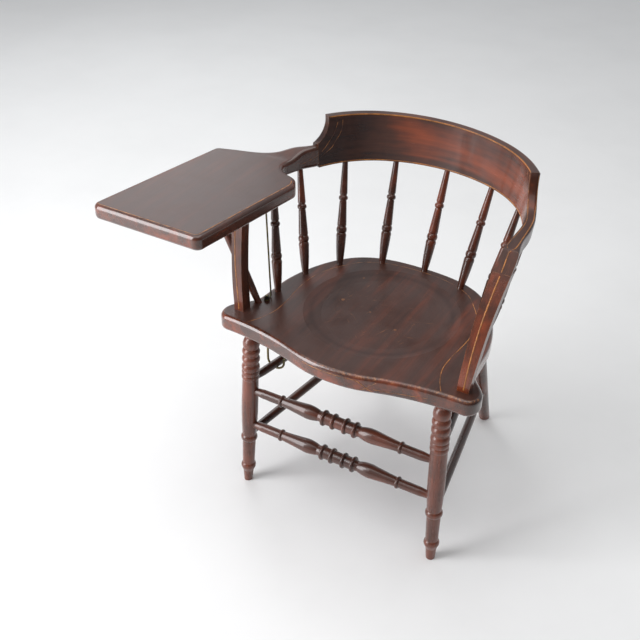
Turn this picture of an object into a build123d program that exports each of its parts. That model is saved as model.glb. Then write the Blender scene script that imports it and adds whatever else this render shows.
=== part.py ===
from build123d import *
from math import atan, cos, hypot, radians, sin, tan
import os

os.makedirs("parts", exist_ok=True)

# A low-backed Windsor armchair whose right arm is a writing tablet.
# Millimetres, +Z up. The sitter faces -Y, so the sitter's left is +X and the tablet is at -X.
# Sizes are given from the seat's centreline and the floor. The model's origin is on the floor,
# under the middle of the whole chair, and spot() carries a point from the one to the other.

# ---------------------------------------------------------------- fits
socket_clearance = 0.15   # round a tenon, rod or dowel in its hole
socket_end_gap = 0.5      # beyond the end of a tenon in a blind hole

# ---------------------------------------------------------------- seat
seat_height = 445.0
seat_thickness = 36.0
seat_back_reach = 216.0                # half outline, (across, back) from the centreline
seat_back_corner = (167.0, 166.0)
seat_side = (239.0, 22.0)
seat_waist = (247.0, -66.0)
seat_ear_root = (268.0, -108.0)
seat_ear_tip = (291.0, -144.0)
seat_ear_front = (265.0, -178.0)
seat_front_hollow = (200.0, -182.0)
seat_front_swell = (110.0, -200.0)
seat_front_reach = 221.0
seat_waist_slant = 0.08                # of the side at its waist, across per unit forwards
seat_edge_round = 9.0
seat_bottom_round = 8.0
dish_radius = 165.0
dish_depth = 6.5
dish_back = 8.0                        # its centre, behind the seat's middle
dish_floor_radius = 127.0              # the gently hollowed floor, inside the steeper rim
dish_floor_rise = 2.2                  # from its middle to its edge
dish_floor_sag = 0.5                   # rise halfway out
dish_rim_middle = (147.5, 2.3)         # a point of the rim's arc: radius, depth

# ---------------------------------------------------------------- legs
leg_tenon_depth = 18.0                 # upwards into the seat
front_leg_foot = (232.0, -168.5)
front_leg_head = (219.0, -155.0)
front_leg_tenon_radius = 12.0
back_leg_foot = (151.0, 320.0)
back_leg_head = (160.0, 140.0)
back_leg_tenon_radius = 12.5
back_leg_foot_radius = 13.0
back_leg_swell_radius = 18.0
back_leg_shoulder = 56.0               # length of the round shoulder above the swell
back_leg_shoulder_radius = 17.0        # halfway up it
back_leg_neck = 14.0                   # from the shoulder to the seat
leg_overrun = 8.0                      # past the floor, before the foot is cut level

# the front leg's turned parts, from the floor: length, radius at its end, radius halfway if round
front_foot_radius = 9.4
front_leg_turning = [
    (29.0, 12.0),
    (9.0, 15.4),
    (14.0, 13.6, 16.6),
    (67.0, 15.0),
    (16.0, 15.4, 18.4),
]
front_leg_vase_swell = 18.3
front_leg_vase_low_radius = 17.7       # halfway up to the swell
front_leg_vase_top_radius = 17.6
front_leg_vase_share = 0.62            # of the vase's length that lies below the swell
front_leg_collar = [
    (12.0, 17.8, 19.3),
    (12.0, 17.8, 19.3),
    (16.0, 16.2, 19.5),
    (4.0, 15.9),
    (17.0, 15.9, 19.3),
    (3.0, 15.9),
    (16.0, 15.1, 19.1),
    (27.0, 12.0, 18.1),
]
front_leg_neck = 11.0                  # above the ball, under the seat

# ---------------------------------------------------------------- stretchers
stretcher_end_gap = 3.0                # from a stretcher's end to the leg's axis
front_stretcher_heights = {"upper": 260.0, "lower": 166.6}
front_stretcher_tenon_radius = 8.0
front_stretcher_end_radius = 10.0
front_stretcher_ring = 142.0           # from the middle to the outer ring
# half of a front stretcher, from its middle ring's centre outwards
front_stretcher_turning = [
    (10.0, 13.0),
    (8.0, 13.0, 17.6),
    (15.0, 13.4),
    (8.0, 12.4, 17.6),
    (8.0, 11.2),
]
front_stretcher_bulb_radius = 15.6
front_stretcher_bulb_length = 30.0
front_stretcher_bulb_middle = 14.8     # radius halfway along the bulb
front_stretcher_taper_middle = 12.6    # radius halfway from the bulb to the ring
front_stretcher_neck_radius = 10.3
front_stretcher_ring_radius = 13.4
front_stretcher_ring_width = 8.0

side_stretcher_radius = 9.8
side_stretcher_end_radius = 8.2
side_upper_height = 285.0
side_lower_front_height = 135.0
side_lower_back_heights = {"left": 121.0, "right": 166.0}
back_stretcher_height = 225.0
back_stretcher_radius = 9.8
back_stretcher_end_radius = 8.2
stretcher_shoulder = 16.0              # length of the taper outside each leg
plain_stretcher_taper = 0.93           # radius beside a shoulder, as a share of the middle's

# ---------------------------------------------------------------- spindles
# spaced by eye, from the tablet's side to the arm's: degrees round the seat, distances along the bow
spindle_foot_angles = [-92.8, -69.6, -47.7, -23.4, 1.4, 26.9, 51.0, 71.5, 93.2]
spindle_head_distances = [-438.0, -328.5, -222.5, -109.0, 8.0, 125.0, 229.0, 329.5, 438.0]
spindle_circle_radius = 228.5          # on the seat
spindle_circle_back = -26.0            # its centre
spindle_foot_depth = 15.0              # into the seat
spindle_head_depth = 12.0              # into the bow
spindle_foot_radius = 7.0
spindle_foot_rise = 3.0                # of the tenon, before the belly starts
spindle_head_radius = 6.0
spindle_belly_radius = 11.0
spindle_belly_middle = 9.7             # radius halfway up to the belly
spindle_belly_length = 58.0
spindle_waist_length = 51.0
spindle_waist_radius = 8.0
# between the belly and the waist, then above the waist
spindle_double_bead = [
    (10.0, 9.6, 11.3),
    (14.0, 9.6, 11.7),
    (4.0, 10.4),
]
spindle_upper_bead = [
    (3.0, 7.3),
    (11.0, 7.3, 10.2),
    (5.0, 8.7),
]

# ---------------------------------------------------------------- bow: crest rail and arm
rail_underside = 660.0
rail_height = 101.0                    # of the crest, at its middle
crest_fall = 0.026                     # of its top edge towards the arm, per unit across
rail_flare = 6.0                       # degrees that both faces lean outwards
rail_thickness = 20.0
bow_half_width = 252.0                 # inner face, at the underside
bow_reach = 275.0                      # the same face's middle, behind the seat's
bow_back_radius = 300.0
bow_back_half_angle = 25.0             # degrees each side of the middle
bow_shift = -2.0                       # the bow sits this far towards the tablet
arm_height = 35.0                      # over the rail's underside
arm_swell = (29.0, -14.0)              # its outer face: from the inner face's line, and how far back
arm_end_width = 35.0
scoop_angle = 30.0                     # degrees behind the side, where both scoops are cut
scoop_start = 10.0
head_line_inset = 8.3                  # spindle heads, from the rail's inner face
rail_outer_round = 6.0                 # top outer edge, over the crest, the scoops and the arm
rail_outer_share = 0.75                # an edge further than this across the rail is an outer one

# ---------------------------------------------------------------- writing tablet
tablet_thickness = 32.0
tablet_inner_back = (-201.0, -8.0)
tablet_inner_front = (-240.0, -287.0)
tablet_outer_front = (-499.0, -287.0)
tablet_outer_back = (-442.0, 57.0)
tablet_cove = [(-211.0, 9.0), (-244.0, 29.0), (-270.0, 58.0), (-265.0, 82.0), (-253.0, 112.0)]
tablet_shoulder = [(-402.0, 70.0), (-370.0, 79.0), (-340.0, 90.0), (-313.0, 105.0), (-283.0, 130.0)]
tablet_corner_round = 16.5
tablet_edge_round = 9.0
neck_thickness = 47.0
neck_joint_angle = 25.0                # degrees behind the side, about the bow's side centre
neck_rise_start = 72.0                 # from the level board up to the neck
neck_rise_end = 142.0
tablet_spindle_shifts = {1: 0.0, 2: -11.0}   # sideways, of the two heads that the tablet holds
shortest_rounded_edge = 1.0
level_tolerance = 0.01
dowel_radius = 4.0
dowel_length = 40.0
dowel_rises = [14.0, 34.0]             # over the neck's underside

# ---------------------------------------------------------------- posts and brace
post_tenon_radius = 6.0
post_foot_depth = 22.0
post_head_depth = 20.0
arm_post_foot = (254.0, -143.0)
arm_post_foot_width = 24.0             # it widens to the arm's end width
arm_post_thickness = 19.0
# the middle of the post's side view: (back, height above the seat)
arm_post_curve = [(-135.0, 50.0), (-116.0, 113.0), (-90.0, 162.0)]
arm_post_head_back = -46.0
arm_post_head_lean = 43.0              # degrees, backwards, where it meets the arm
tablet_post_foot = (-256.0, -132.0)
tablet_post_foot_width = 22.0
tablet_post_head_width = 24.0
tablet_post_thickness = 26.0
tablet_post_curve = [(-134.5, 60.0), (-133.0, 130.0)]
tablet_post_head_back = -125.0
tablet_post_head_lean = 8.0
brace_foot = (-240.0, -96.0)
brace_head = (-345.0, -100.0)
brace_radius = 9.6
brace_low_radius = 9.2                 # a quarter of the way up
brace_high_radius = 8.6                # three quarters of the way up
brace_tenon_radius = 7.0
brace_depth = 14.0

# ---------------------------------------------------------------- iron work
hook_spot = (-229.0, -80.0)
hook_wire_radius = 2.4
hook_gap = 0.2                         # between the hook and the stretcher that it grips
hook_tip_rise = 10.0
nut_across_flats = 9.0
nut_height = 4.0
washer_radius = 6.5
washer_thickness = 1.4
rod_foot_spot = (-228.0, -65.0)
rod_head_spot = (-233.5, -70.0)
rod_radius = 1.8
rod_bend_radius = 5.0
rod_depth = 14.0                       # into the tablet's underside

seat_underside = seat_height - seat_thickness
crest_top = rail_underside + rail_height
arm_top = rail_underside + arm_height
neck_top = rail_underside + neck_thickness
tablet_top = rail_underside + tablet_thickness
origin_across = (seat_ear_tip[0] + tablet_outer_front[0]) / 2
back_leg_lean = atan((back_leg_foot[1] - back_leg_head[1]) / seat_underside)
origin_back = (back_leg_foot[1] + back_leg_foot_radius / cos(back_leg_lean) + tablet_outer_front[1]) / 2


def spot(across, back, height):
    """A point given from the seat's centreline and the floor."""
    return Vector(across - origin_across, back - origin_back, height)


def stick_plane(foot, head):
    """The plane of a stick's half outline: x is out from its axis, y runs from foot to head."""
    square = Plane(origin=foot, z_dir=head - foot)
    return Plane(origin=foot, x_dir=square.x_dir, z_dir=-square.y_dir)


def towards(start, end, distance):
    """The point that lies this far from start on the way to end."""
    return start + (end - start).normalized() * distance


def at_height(low, high, height):
    """The point at this height on the line through low and high."""
    return low + (high - low) * ((height - low.Z) / (high.Z - low.Z))


def socket(end, inside, radius, reach):
    """A hole for a round tenon: its bottom past the tenon's end, its mouth, and its radius."""
    bottom = towards(end, inside, -socket_end_gap)
    return bottom, towards(bottom, inside, reach), radius + socket_clearance


def bore(holes):
    """Bore round holes into the piece in hand, each given as its bottom, its mouth and its radius."""
    for bottom, mouth, radius in holes:
        with Locations(Plane(origin=bottom, z_dir=mouth - bottom)):
            Cylinder(
                radius,
                (mouth - bottom).length,
                align=(Align.CENTER, Align.CENTER, Align.MIN),
                mode=Mode.SUBTRACT,
            )


def half_section(start_radius, elements):
    """Draw a turned stick's half section: its axis is y, and it starts at y = 0.

    An element is its length, its end radius and, if its face is an arc, the radius halfway.
    """
    done = 0
    radius = start_radius
    Line((0, 0), (start_radius, 0))
    for length, end_radius, *middle_radius in elements:
        if middle_radius:
            middle = (middle_radius[0], done + length / 2)
            ThreePointArc((radius, done), middle, (end_radius, done + length))
        else:
            Line((radius, done), (end_radius, done + length))
        done = done + length
        radius = end_radius
    Polyline((radius, done), (0, done), (0, 0))


def turned(foot, head, start_radius, elements, holes=(), cut_at_floor=False):
    """A stick turned about the line from foot to head, with round holes bored into it."""
    with BuildPart() as piece:
        with BuildSketch(stick_plane(foot, head)):
            with BuildLine():
                half_section(start_radius, elements)
            make_face()
        revolve(axis=Axis(foot, head - foot))
        if cut_at_floor:
            split(bisect_by=Plane.XY, keep=Keep.TOP)
        bore(holes)
    return piece


# ================================================================ where the sticks stand
sides = {"left": 1, "right": -1}

front_legs = {}
back_legs = {}
for side, sign in sides.items():
    foot = spot(sign * front_leg_foot[0], front_leg_foot[1], 0)
    head = spot(sign * front_leg_head[0], front_leg_head[1], seat_underside)
    front_legs[side] = (foot, head, at_height(foot, head, seat_underside + leg_tenon_depth))
    foot = spot(sign * back_leg_foot[0], back_leg_foot[1], 0)
    head = spot(sign * back_leg_head[0], back_leg_head[1], seat_underside)
    back_legs[side] = (foot, head, at_height(foot, head, seat_underside + leg_tenon_depth))


def between_legs(leg_a, height_a, leg_b, height_b):
    """A stretcher's two ends, just short of the axes of the legs that it joins."""
    a = at_height(leg_a[0], leg_a[1], height_a)
    b = at_height(leg_b[0], leg_b[1], height_b)
    return towards(a, b, stretcher_end_gap), towards(b, a, stretcher_end_gap)


front_stretchers = {
    name: between_legs(front_legs["right"], height, front_legs["left"], height)
    for name, height in front_stretcher_heights.items()
}
side_stretchers = {}
for side in sides:
    front, back = front_legs[side], back_legs[side]
    low = side_lower_back_heights[side]
    side_stretchers[side, "upper"] = between_legs(front, side_upper_height, back, side_upper_height)
    side_stretchers[side, "lower"] = between_legs(front, side_lower_front_height, back, low)
back_stretcher_ends = between_legs(
    back_legs["right"], back_stretcher_height, back_legs["left"], back_stretcher_height
)

# the bow's plan: one arc at the back, one at each side, then straight to the front
bow_back_centre = bow_reach - bow_back_radius
turned_share = sin(radians(bow_back_half_angle))
bow_side_radius = (bow_half_width - bow_back_radius * turned_share) / (1 - turned_share)
side_centre_across = bow_half_width - bow_side_radius
side_centre_back = bow_back_centre + side_centre_across / tan(radians(bow_back_half_angle))
side_sweep = 90 - bow_back_half_angle


def along_bow(distance, inset):
    """The point this far from the bow's middle, along a line inset from its inner face."""
    back_radius = bow_back_radius + inset
    side_radius = bow_side_radius + inset
    back_length = back_radius * radians(bow_back_half_angle)
    side_length = side_radius * radians(side_sweep)
    if distance < back_length:
        angle = distance / back_radius
        return back_radius * sin(angle), bow_back_centre + back_radius * cos(angle)
    if distance < back_length + side_length:
        angle = radians(bow_back_half_angle) + (distance - back_length) / side_radius
        return (
            side_centre_across + side_radius * sin(angle),
            side_centre_back + side_radius * cos(angle),
        )
    return side_centre_across + side_radius, side_centre_back - (distance - back_length - side_length)


spindles = []
for number, (degrees_round, distance) in enumerate(
    zip(spindle_foot_angles, spindle_head_distances, strict=True), start=1
):
    sign = 1 if distance > 0 else -1
    angle = radians(degrees_round)
    across, back = along_bow(abs(distance), head_line_inset)
    shift = tablet_spindle_shifts.get(number, bow_shift)
    foot = spot(
        spindle_circle_radius * sin(angle),
        spindle_circle_back + spindle_circle_radius * cos(angle),
        seat_height,
    )
    head = spot(sign * across + shift, back, rail_underside)
    foot_end = at_height(foot, head, seat_height - spindle_foot_depth)
    head_end = at_height(foot, head, rail_underside + spindle_head_depth)
    spindles.append((foot_end, foot, head, head_end))


def stretcher_socket(end, other, radius):
    return socket(end, other, radius, 3 * front_leg_vase_swell)


# ================================================================ legs
front_vase = seat_underside - front_leg_neck
for length, *radii in front_leg_turning + front_leg_collar:
    front_vase = front_vase - length

for side, (foot, head, tenon_end) in front_legs.items():
    start = towards(foot, head, -leg_overrun)
    neck = front_leg_neck + (tenon_end - head).length
    sockets = []
    for ends in front_stretchers.values():
        here, there = ends if side == "right" else ends[::-1]
        sockets.append(stretcher_socket(here, there, front_stretcher_tenon_radius))
    for level in ("upper", "lower"):
        here, there = side_stretchers[side, level]
        sockets.append(stretcher_socket(here, there, side_stretcher_end_radius))
    leg = turned(
        start,
        head,
        front_foot_radius,
        [
            (leg_overrun, front_foot_radius),
            *front_leg_turning,
            (front_vase * front_leg_vase_share, front_leg_vase_swell, front_leg_vase_low_radius),
            (front_vase * (1 - front_leg_vase_share), front_leg_vase_top_radius),
            *front_leg_collar,
            (neck, front_leg_tenon_radius),
        ],
        sockets,
        cut_at_floor=True,
    )
    leg.part.label = f"leg_front_{side}"
    export_step(leg.part, f"parts/leg_front_{side}.step")

for side, (foot, head, tenon_end) in back_legs.items():
    start = towards(foot, head, -leg_overrun)
    sockets = []
    for level in ("upper", "lower"):
        there, here = side_stretchers[side, level]
        sockets.append(stretcher_socket(here, there, side_stretcher_end_radius))
    here, there = back_stretcher_ends if side == "right" else back_stretcher_ends[::-1]
    sockets.append(stretcher_socket(here, there, back_stretcher_end_radius))
    swell = (head - foot).length - back_leg_shoulder - back_leg_neck
    leg = turned(
        start,
        head,
        back_leg_foot_radius,
        [
            (leg_overrun, back_leg_foot_radius),
            (swell, back_leg_swell_radius),
            (back_leg_shoulder, back_leg_tenon_radius, back_leg_shoulder_radius),
            (back_leg_neck + (tenon_end - head).length, back_leg_tenon_radius),
        ],
        sockets,
        cut_at_floor=True,
    )
    leg.part.label = f"leg_back_{side}"
    export_step(leg.part, f"parts/leg_back_{side}.step")

# ================================================================ stretchers
# from a stretcher's end to the leg's face, which takes more at a back leg because that leans
front_shoulder_start = front_leg_vase_swell - stretcher_end_gap
plain_shoulder_start = (
    back_leg_swell_radius + side_stretcher_end_radius * sin(back_leg_lean)
) / cos(back_leg_lean) - stretcher_end_gap
for name, (here, there) in front_stretchers.items():
    half = (there - here).length / 2
    inner = sum(length for length, *radii in front_stretcher_turning)
    ring_inner = front_stretcher_ring - front_stretcher_ring_width / 2
    ring_outer = front_stretcher_ring + front_stretcher_ring_width / 2
    bulb_top = inner + front_stretcher_bulb_length
    half_turning = [
        *front_stretcher_turning,
        (front_stretcher_bulb_length, front_stretcher_bulb_radius, front_stretcher_bulb_middle),
        (ring_inner - bulb_top, front_stretcher_neck_radius, front_stretcher_taper_middle),
        (front_stretcher_ring_width, front_stretcher_neck_radius, front_stretcher_ring_radius),
        (half - ring_outer - front_shoulder_start - stretcher_shoulder, front_stretcher_end_radius),
        (stretcher_shoulder, front_stretcher_tenon_radius),
        (front_shoulder_start, front_stretcher_tenon_radius),
    ]
    with BuildPart() as stretcher:
        with BuildSketch(stick_plane((here + there) / 2, there)):
            with BuildLine():
                half_section(half_turning[0][1], half_turning)
            make_face()
            mirror(about=Plane.XZ)
        revolve(axis=Axis(here, there - here))
    stretcher.part.label = f"front_stretcher_{name}"
    export_step(stretcher.part, f"parts/front_stretcher_{name}.step")

plain_stretchers = {
    f"side_stretcher_{side}_{level}": (ends, side_stretcher_radius, side_stretcher_end_radius)
    for (side, level), ends in side_stretchers.items()
}
plain_stretchers["back_stretcher"] = (
    back_stretcher_ends, back_stretcher_radius, back_stretcher_end_radius
)
for name, ((here, there), middle_radius, end_radius) in plain_stretchers.items():
    body = (there - here).length - 2 * (plain_shoulder_start + stretcher_shoulder)
    stretcher = turned(
        here,
        there,
        end_radius,
        [
            (plain_shoulder_start, end_radius),
            (stretcher_shoulder, middle_radius * plain_stretcher_taper),
            (body, middle_radius * plain_stretcher_taper, middle_radius),
            (stretcher_shoulder, end_radius),
            (plain_shoulder_start, end_radius),
        ],
    )
    stretcher.part.label = name
    export_step(stretcher.part, f"parts/{name}.step")

# ================================================================ spindles
bead_length = sum(length for length, *radii in spindle_double_bead + spindle_upper_bead)
for number, (foot_end, foot, head, head_end) in enumerate(spindles, start=1):
    foot_tenon = (foot - foot_end).length
    head_tenon = (head_end - head).length
    slender = (head - foot).length - bead_length
    for length in (spindle_foot_rise, spindle_belly_length, spindle_waist_length):
        slender = slender - length
    spindle = turned(
        foot_end,
        head_end,
        spindle_foot_radius,
        [
            (foot_tenon + spindle_foot_rise, spindle_foot_radius),
            (spindle_belly_length, spindle_belly_radius, spindle_belly_middle),
            *spindle_double_bead,
            (spindle_waist_length, spindle_waist_radius),
            *spindle_upper_bead,
            (slender, spindle_head_radius),
            (head_tenon, spindle_head_radius),
        ],
    )
    spindle.part.label = f"spindle_{number}"
    export_step(spindle.part, f"parts/spindle_{number}.step")

# ================================================================ posts and brace: where they stand
arm_post_head_across = bow_half_width + bow_shift + arm_end_width / 2
arm_post_lean = atan((arm_post_head_across - arm_post_foot[0]) / (rail_underside - seat_height))
arm_post_plane = Plane(
    origin=spot(arm_post_foot[0], 0, seat_height),
    x_dir=(0, 1, 0),
    z_dir=(cos(arm_post_lean), 0, -sin(arm_post_lean)),
)
tablet_post_plane = Plane(
    origin=spot(tablet_post_foot[0], 0, seat_height), x_dir=(0, 1, 0), z_dir=(1, 0, 0)
)


def square_to(way):
    """The direction in a flat drawing that is a quarter turn from this one."""
    return Vector(way.Y, -way.X)


def side_view_post(plane, foot_back, curve, head_back, head_lean, foot_width, head_width, thickness):
    """A flat post that follows a curve in its side view and tapers in front view, with two tenons.

    Returns the post and its two tenons, each as its root, its end and its radius.
    """
    rise = (rail_underside - seat_height) / plane.y_dir.Z
    spread = (head_width - foot_width) / 2 * thickness / rise
    lean = radians(head_lean)
    head = (head_back, rise)
    head_way = (sin(lean), cos(lean))
    tenons = []
    for local, way, depth in (
        ((foot_back, 0), (0, -1), post_foot_depth),
        (head, head_way, post_head_depth),
    ):
        root = plane.from_local_coords(local)
        end = plane.from_local_coords((local[0] + way[0] * depth, local[1] + way[1] * depth))
        tenons.append((root, end))
    middle = Spline((foot_back, 0), *curve, head, tangents=((0, 1), head_way))
    stations = (0, 0.25, 0.5, 0.75, 1)
    with BuildPart() as post:
        with BuildSketch(plane):
            with BuildLine():
                faces = []
                for offset_side in (-thickness / 2, thickness / 2):
                    points = [middle @ t + square_to(middle % t) * offset_side for t in stations]
                    face = Spline(*points, tangents=(middle % 0, middle % 1))
                    low = Line(face @ 0 - (middle % 0) * thickness, face @ 0)
                    high = Line(face @ 1, face @ 1 + (middle % 1) * thickness)
                    faces.append((low @ 0, high @ 1))
                Line(faces[0][0], faces[1][0])
                Line(faces[0][1], faces[1][1])
            make_face()
        extrude(amount=max(foot_width, head_width), both=True)
        with BuildSketch(Plane(origin=plane.origin, x_dir=plane.z_dir, z_dir=(0, -1, 0))):
            Polygon(
                (-foot_width / 2 + spread, -thickness),
                (foot_width / 2 - spread, -thickness),
                (head_width / 2 + spread, rise + thickness),
                (-head_width / 2 - spread, rise + thickness),
                align=None,
            )
        extrude(amount=2 * abs(foot_back), both=True, mode=Mode.INTERSECT)
        split(bisect_by=Plane(origin=spot(0, 0, seat_height)), keep=Keep.TOP)
        split(bisect_by=Plane(origin=spot(0, 0, rail_underside)), keep=Keep.BOTTOM)
        for root, end in tenons:
            with Locations(Plane(origin=end, z_dir=root - end)):
                Cylinder(
                    post_tenon_radius,
                    (root - end).length + post_tenon_radius,
                    align=(Align.CENTER, Align.CENTER, Align.MIN),
                )
    return post, tenons


arm_post, arm_post_tenons = side_view_post(
    arm_post_plane,
    arm_post_foot[1],
    arm_post_curve,
    arm_post_head_back,
    arm_post_head_lean,
    arm_post_foot_width,
    arm_end_width,
    arm_post_thickness,
)
arm_post.part.label = "arm_post"
export_step(arm_post.part, "parts/arm_post.step")

tablet_post, tablet_post_tenons = side_view_post(
    tablet_post_plane,
    tablet_post_foot[1],
    tablet_post_curve,
    tablet_post_head_back,
    tablet_post_head_lean,
    tablet_post_foot_width,
    tablet_post_head_width,
    tablet_post_thickness,
)
tablet_post.part.label = "tablet_post"
export_step(tablet_post.part, "parts/tablet_post.step")

# the brace, a plain round stick
brace_low = spot(brace_foot[0], brace_foot[1], seat_height)
brace_high = spot(brace_head[0], brace_head[1], rail_underside)
brace_foot_end = at_height(brace_low, brace_high, seat_height - brace_depth)
brace_head_end = at_height(brace_low, brace_high, rail_underside + brace_depth)
brace_tenon = (brace_low - brace_foot_end).length
brace_body = (brace_high - brace_low).length
tablet_brace = turned(
    brace_foot_end,
    brace_head_end,
    brace_tenon_radius,
    [
        (brace_tenon + brace_tenon_radius, brace_tenon_radius),
        (brace_body / 2 - brace_tenon_radius, brace_radius, brace_low_radius),
        (brace_body / 2 - brace_tenon_radius, brace_tenon_radius, brace_high_radius),
        (brace_tenon + brace_tenon_radius, brace_tenon_radius),
    ],
)
tablet_brace.part.label = "tablet_brace"
export_step(tablet_brace.part, "parts/tablet_brace.step")

# ================================================================ tie rod, hooked bolt, washer, nut
gripped_foot, gripped_head = side_stretchers["right", "upper"]
hook_top = spot(hook_spot[0], hook_spot[1], seat_height)
gripped = gripped_foot + (gripped_head - gripped_foot) * (
    (hook_top.Y - gripped_foot.Y) / (gripped_head.Y - gripped_foot.Y)
)
hook_bend_radius = gripped.X - hook_top.X
hook_bend_height = gripped.Z - side_stretcher_radius - hook_gap + hook_bend_radius - hook_wire_radius
eye_height = seat_height + rod_radius
washer_height = eye_height + rod_radius
nut_base = washer_height + washer_thickness
hook_end = nut_base + nut_height + hook_wire_radius

with BuildPart() as hook_bolt:
    with BuildLine(Plane(origin=hook_top, x_dir=(1, 0, 0), z_dir=(0, -1, 0))) as hook_path:
        shank = Line((0, hook_end - seat_height), (0, hook_bend_height - seat_height))
        bend = CenterArc(
            (hook_bend_radius, hook_bend_height - seat_height), hook_bend_radius, 180, 180
        )
        Line(bend @ 1, bend @ 1 + Vector(0, 0, hook_tip_rise))
    with BuildSketch(Plane(origin=hook_top + Vector(0, 0, hook_end - seat_height))):
        Circle(hook_wire_radius)
    sweep(path=hook_path.wire())
hook_bolt.part.label = "hook_bolt"
export_step(hook_bolt.part, "parts/hook_bolt.step")

eye_radius = hook_wire_radius + socket_clearance + rod_radius
rod_foot = spot(rod_foot_spot[0], rod_foot_spot[1], eye_height)
rod_top = spot(rod_head_spot[0], rod_head_spot[1], rail_underside + rod_depth)
eye_centre = spot(hook_spot[0], hook_spot[1], eye_height)
with BuildPart() as tie_rod:
    with BuildLine() as rod_path:
        FilletPolyline(
            rod_top, rod_foot, towards(eye_centre, rod_foot, eye_radius), radius=rod_bend_radius
        )
    with BuildSketch(Plane(origin=rod_top)):
        Circle(rod_radius)
    sweep(path=rod_path.wire())
    with Locations(eye_centre):
        Torus(eye_radius, rod_radius)
tie_rod.part.label = "tie_rod"
export_step(tie_rod.part, "parts/tie_rod.step")

with BuildPart() as hook_washer:
    with BuildSketch(Plane(origin=eye_centre + Vector(0, 0, rod_radius))):
        Circle(washer_radius)
        Circle(hook_wire_radius + socket_clearance, mode=Mode.SUBTRACT)
    extrude(amount=washer_thickness)
hook_washer.part.label = "hook_washer"
export_step(hook_washer.part, "parts/hook_washer.step")

with BuildPart() as hook_nut:
    with BuildSketch(Plane(origin=eye_centre + Vector(0, 0, rod_radius + washer_thickness))):
        RegularPolygon(nut_across_flats / 2, 6, major_radius=False)
        Circle(hook_wire_radius + socket_clearance, mode=Mode.SUBTRACT)
    extrude(amount=nut_height)
hook_nut.part.label = "hook_nut"
export_step(hook_nut.part, "parts/hook_nut.step")

# ================================================================ seat
seat_sockets = [
    socket(tenon_end, foot, radius, 2 * seat_thickness)
    for legs, radius in ((front_legs, front_leg_tenon_radius), (back_legs, back_leg_tenon_radius))
    for foot, head, tenon_end in legs.values()
]
seat_sockets += [
    socket(foot_end, head, spindle_foot_radius, 2 * spindle_foot_depth)
    for foot_end, foot, head, head_end in spindles
]
seat_sockets += [
    socket(tenons[0][1], tenons[0][0], post_tenon_radius, 2 * post_foot_depth)
    for tenons in (arm_post_tenons, tablet_post_tenons)
]
seat_sockets.append(socket(brace_foot_end, brace_low, brace_tenon_radius, 2 * brace_depth))
bolt_hole_low = spot(hook_spot[0], hook_spot[1], seat_underside - seat_thickness)
bolt_hole_high = spot(hook_spot[0], hook_spot[1], seat_height + seat_thickness)
seat_sockets.append((bolt_hole_low, bolt_hole_high, hook_wire_radius + socket_clearance))

with BuildPart() as seat:
    with BuildSketch(Plane(origin=spot(0, 0, seat_underside))):
        with BuildLine():
            Spline(
                (0, seat_back_reach), seat_back_corner, seat_side, seat_waist,
                tangents=((1, 0), (seat_waist_slant, -1)),
            )
            Spline(
                seat_waist, seat_ear_root, seat_ear_tip, seat_ear_front,
                tangents=((seat_waist_slant, -1), (-1, 0)),
            )
            Spline(
                seat_ear_front, seat_front_hollow, seat_front_swell, (0, -seat_front_reach),
                tangents=((-1, 0), (-1, 0)),
            )
            mirror(about=Plane.YZ)
        make_face()
    extrude(amount=seat_thickness)
    fillet(seat.faces().sort_by(Axis.Z)[-1].outer_wire().edges(), seat_edge_round)
    fillet(seat.faces().sort_by(Axis.Z)[0].outer_wire().edges(), seat_bottom_round)
    with BuildSketch(Plane(origin=spot(0, dish_back, seat_height), x_dir=(1, 0, 0), z_dir=(0, -1, 0))):
        with BuildLine():
            floor_edge = (dish_floor_radius, dish_floor_rise - dish_depth)
            ThreePointArc(
                (0, -dish_depth), (dish_floor_radius / 2, dish_floor_sag - dish_depth), floor_edge
            )
            ThreePointArc(floor_edge, (dish_rim_middle[0], -dish_rim_middle[1]), (dish_radius, 0))
            Polyline((dish_radius, 0), (dish_radius, dish_depth), (0, dish_depth), (0, -dish_depth))
        make_face()
    revolve(axis=Axis(spot(0, dish_back, seat_height), (0, 0, 1)), mode=Mode.SUBTRACT)
    bore(seat_sockets)
seat.part.label = "seat"
export_step(seat.part, "parts/seat.step")

# ================================================================ bow
flare_rate = tan(radians(rail_flare))
arm_end_rate = tan(radians(arm_post_head_lean))
arm_end_back = arm_post_head_back - arm_post_thickness / 2 / cos(radians(arm_post_head_lean))
arm_end_high = arm_end_back + rail_height * arm_end_rate
bow_plane = Plane(origin=spot(bow_shift, 0, rail_underside))


def side_plane(sign, angle):
    """An upright plane through a side arc's centre: x runs back along the rail, y is up."""
    turn = radians(angle)
    return Plane(
        origin=spot(bow_shift + sign * side_centre_across, side_centre_back, 0),
        x_dir=(-sign * sin(turn), cos(turn), 0),
        z_dir=(cos(turn), sign * sin(turn), 0),
    )


def rail_point(angle, offset, height):
    """A point of the right end of the rail, this far from its inner face at this height."""
    radius = bow_side_radius + offset + (height - rail_underside) * flare_rate
    turn = radians(angle)
    return spot(
        bow_shift - side_centre_across - radius * cos(turn),
        side_centre_back + radius * sin(turn),
        height,
    )


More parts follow.
